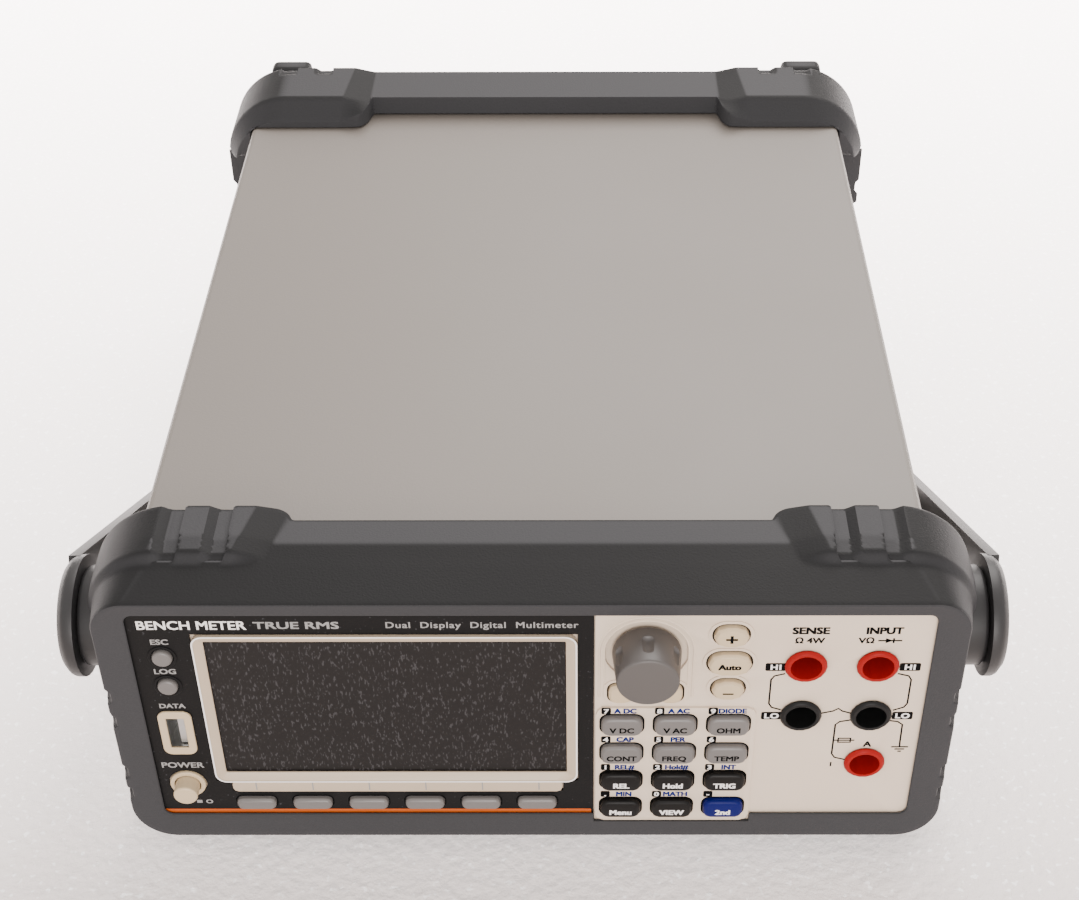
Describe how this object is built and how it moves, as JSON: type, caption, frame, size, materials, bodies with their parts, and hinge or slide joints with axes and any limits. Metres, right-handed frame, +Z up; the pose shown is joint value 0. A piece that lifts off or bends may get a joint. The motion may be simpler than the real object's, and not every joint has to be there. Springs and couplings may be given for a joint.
{
  "type": "bench digital multimeter",
  "caption": "Bench multimeter: painted steel case between rubber bumpers, fold-under carrying handle, dark display with keys, rotary knob and shrouded test sockets.",
  "frame": {"origin": "bottom centre of the whole instrument's box, on the bench", "axes": "+Z up, -Y out of the front panel, +X to the right as the front is faced"},
  "size_m": [0.257, 0.312, 0.107],
  "materials": {
    "panel_plastic": "warm off-white moulded plastic, fine satin",
    "fascia_black": "black film with a fine even texture",
    "window_glass": "dark anti-glare window",
    "bare_steel": "bare zinc-plated sheet",
    "mat_rubber": "silicone",
    "circuit_board": "green solder mask",
    "black_plastic": "black moulded plastic",
    "knob_grey": "grey moulded plastic, soft sheen",
    "cream_plastic": "cream moulded plastic",
    "case_paint": "warm light grey powder coat, fine texture",
    "lamination": "varnished steel laminations",
    "bumper_rubber": "dark grey elastomer, matt",
    "handle_plastic": "dark grey moulded plastic, fine grain",
    "socket_red": "red moulded plastic",
    "grey_key": "light grey key caps",
    "dark_key": "dark grey key caps",
    "blue_key": "blue key cap"
  },
  "bodies": {
    "instrument": {"case_cover": "case_paint", "chassis_tray": "bare_steel", "current_socket": "socket_red", "display_fascia": "fascia_black", "display_window": "window_glass", "encoder_housing": "bare_steel", "front_board": "circuit_board", "front_bumper": "bumper_rubber", "front_panel": "panel_plastic", "input_board": "circuit_board", "input_high_socket": "socket_red", "input_low_socket": "black_plastic", "key_mat": "mat_rubber", "lan_socket": "bare_steel", "lcd_module": "bare_steel", "left_hub": "handle_plastic", "main_board": "circuit_board", "mains_inlet": "black_plastic", "power_button_ring": "cream_plastic", "power_switch": "black_plastic", "rear_bumper": "bumper_rubber", "rear_panel": "case_paint", "right_hub": "handle_plastic", "screen_bezel": "panel_plastic", "sense_high_socket": "socket_red", "sense_low_socket": "black_plastic", "transformer": "lamination", "usb_device_socket": "bare_steel", "usb_host_socket": "bare_steel"},
    "keypad_key_1_1": {"keypad_key_1_1": "grey_key"},
    "keypad_key_1_2": {"keypad_key_1_2": "grey_key"},
    "keypad_key_1_3": {"keypad_key_1_3": "grey_key"},
    "keypad_key_2_1": {"keypad_key_2_1": "grey_key"},
    "keypad_key_2_2": {"keypad_key_2_2": "grey_key"},
    "keypad_key_2_3": {"keypad_key_2_3": "grey_key"},
    "keypad_key_3_1": {"keypad_key_3_1": "dark_key"},
    "keypad_key_3_2": {"keypad_key_3_2": "dark_key"},
    "keypad_key_3_3": {"keypad_key_3_3": "dark_key"},
    "keypad_key_4_1": {"keypad_key_4_1": "dark_key"},
    "keypad_key_4_2": {"keypad_key_4_2": "dark_key"},
    "keypad_key_4_3": {"keypad_key_4_3": "blue_key"},
    "soft_key_1": {"soft_key_1": "grey_key"},
    "soft_key_2": {"soft_key_2": "grey_key"},
    "soft_key_3": {"soft_key_3": "grey_key"},
    "soft_key_4": {"soft_key_4": "grey_key"},
    "soft_key_5": {"soft_key_5": "grey_key"},
    "soft_key_6": {"soft_key_6": "grey_key"},
    "range_up_key": {"range_up_key": "cream_plastic"},
    "auto_key": {"auto_key": "cream_plastic"},
    "range_down_key": {"range_down_key": "cream_plastic"},
    "left_arrow_key": {"left_arrow_key": "cream_plastic"},
    "right_arrow_key": {"right_arrow_key": "cream_plastic"},
    "escape_key": {"escape_key": "grey_key"},
    "log_key": {"log_key": "grey_key"},
    "power_button": {"power_button": "cream_plastic"},
    "encoder_rotor": {"encoder_rotor": "black_plastic"},
    "knob": {"knob": "knob_grey", "encoder_shaft": "bare_steel"},
    "handle": {"handle": "handle_plastic"},
    "fuse_drawer": {"fuse_drawer": "black_plastic"}
  },
  "joints": [
    {"name": "keypad_key_1_1_press", "type": "slide", "parent": "instrument", "child": "keypad_key_1_1", "axis": [0, 1, 0], "range_m": [0, 0.0012], "stiffness_N_per_m": 500},
    {"name": "keypad_key_1_2_press", "type": "slide", "parent": "instrument", "child": "keypad_key_1_2", "axis": [0, 1, 0], "range_m": [0, 0.0012], "stiffness_N_per_m": 500},
    {"name": "keypad_key_1_3_press", "type": "slide", "parent": "instrument", "child": "keypad_key_1_3", "axis": [0, 1, 0], "range_m": [0, 0.0012], "stiffness_N_per_m": 500},
    {"name": "keypad_key_2_1_press", "type": "slide", "parent": "instrument", "child": "keypad_key_2_1", "axis": [0, 1, 0], "range_m": [0, 0.0012], "stiffness_N_per_m": 500},
    {"name": "keypad_key_2_2_press", "type": "slide", "parent": "instrument", "child": "keypad_key_2_2", "axis": [0, 1, 0], "range_m": [0, 0.0012], "stiffness_N_per_m": 500},
    {"name": "keypad_key_2_3_press", "type": "slide", "parent": "instrument", "child": "keypad_key_2_3", "axis": [0, 1, 0], "range_m": [0, 0.0012], "stiffness_N_per_m": 500},
    {"name": "keypad_key_3_1_press", "type": "slide", "parent": "instrument", "child": "keypad_key_3_1", "axis": [0, 1, 0], "range_m": [0, 0.0012], "stiffness_N_per_m": 500},
    {"name": "keypad_key_3_2_press", "type": "slide", "parent": "instrument", "child": "keypad_key_3_2", "axis": [0, 1, 0], "range_m": [0, 0.0012], "stiffness_N_per_m": 500},
    {"name": "keypad_key_3_3_press", "type": "slide", "parent": "instrument", "child": "keypad_key_3_3", "axis": [0, 1, 0], "range_m": [0, 0.0012], "stiffness_N_per_m": 500},
    {"name": "keypad_key_4_1_press", "type": "slide", "parent": "instrument", "child": "keypad_key_4_1", "axis": [0, 1, 0], "range_m": [0, 0.0012], "stiffness_N_per_m": 500},
    {"name": "keypad_key_4_2_press", "type": "slide", "parent": "instrument", "child": "keypad_key_4_2", "axis": [0, 1, 0], "range_m": [0, 0.0012], "stiffness_N_per_m": 500},
    {"name": "keypad_key_4_3_press", "type": "slide", "parent": "instrument", "child": "keypad_key_4_3", "axis": [0, 1, 0], "range_m": [0, 0.0012], "stiffness_N_per_m": 500},
    {"name": "soft_key_1_press", "type": "slide", "parent": "instrument", "child": "soft_key_1", "axis": [0, 1, 0], "range_m": [0, 0.0012], "stiffness_N_per_m": 500},
    {"name": "soft_key_2_press", "type": "slide", "parent": "instrument", "child": "soft_key_2", "axis": [0, 1, 0], "range_m": [0, 0.0012], "stiffness_N_per_m": 500},
    {"name": "soft_key_3_press", "type": "slide", "parent": "instrument", "child": "soft_key_3", "axis": [0, 1, 0], "range_m": [0, 0.0012], "stiffness_N_per_m": 500},
    {"name": "soft_key_4_press", "type": "slide", "parent": "instrument", "child": "soft_key_4", "axis": [0, 1, 0], "range_m": [0, 0.0012], "stiffness_N_per_m": 500},
    {"name": "soft_key_5_press", "type": "slide", "parent": "instrument", "child": "soft_key_5", "axis": [0, 1, 0], "range_m": [0, 0.0012], "stiffness_N_per_m": 500},
    {"name": "soft_key_6_press", "type": "slide", "parent": "instrument", "child": "soft_key_6", "axis": [0, 1, 0], "range_m": [0, 0.0012], "stiffness_N_per_m": 500},
    {"name": "range_up_key_press", "type": "slide", "parent": "instrument", "child": "range_up_key", "axis": [0, 1, 0], "range_m": [0, 0.0012], "stiffness_N_per_m": 500},
    {"name": "auto_key_press", "type": "slide", "parent": "instrument", "child": "auto_key", "axis": [0, 1, 0], "range_m": [0, 0.0012], "stiffness_N_per_m": 500},
    {"name": "range_down_key_press", "type": "slide", "parent": "instrument", "child": "range_down_key", "axis": [0, 1, 0], "range_m": [0, 0.0012], "stiffness_N_per_m": 500},
    {"name": "left_arrow_key_press", "type": "slide", "parent": "instrument", "child": "left_arrow_key", "axis": [0, 1, 0], "range_m": [0, 0.0012], "stiffness_N_per_m": 500},
    {"name": "right_arrow_key_press", "type": "slide", "parent": "instrument", "child": "right_arrow_key", "axis": [0, 1, 0], "range_m": [0, 0.0012], "stiffness_N_per_m": 500},
    {"name": "escape_key_press", "type": "slide", "parent": "instrument", "child": "escape_key", "axis": [0, 1, 0], "range_m": [0, 0.0012], "stiffness_N_per_m": 500},
    {"name": "log_key_press", "type": "slide", "parent": "instrument", "child": "log_key", "axis": [0, 1, 0], "range_m": [0, 0.0012], "stiffness_N_per_m": 500},
    {"name": "power_press", "type": "slide", "parent": "instrument", "child": "power_button", "axis": [0, 1, 0], "range_m": [0, 0.0035], "stiffness_N_per_m": 800},
    {"name": "knob_turn", "type": "hinge", "parent": "instrument", "child": "encoder_rotor", "pos_m": [0.0304, -0.14445, 0.0832], "axis": [0, 1, 0], "continuous": true},
    {"name": "knob_push", "type": "slide", "parent": "encoder_rotor", "child": "knob", "axis": [0, 1, 0], "range_m": [0, 0.0006], "stiffness_N_per_m": 1500},
    {"name": "handle_swing", "type": "hinge", "parent": "instrument", "child": "handle", "pos_m": [0, -0.11945, 0.0725], "axis": [-1, 0, 0], "range_deg": [0, 310]},
    {"name": "fuse_drawer_slide", "type": "slide", "parent": "instrument", "child": "fuse_drawer", "axis": [0, 1, 0], "range_m": [0, 0.012]}
  ]
}
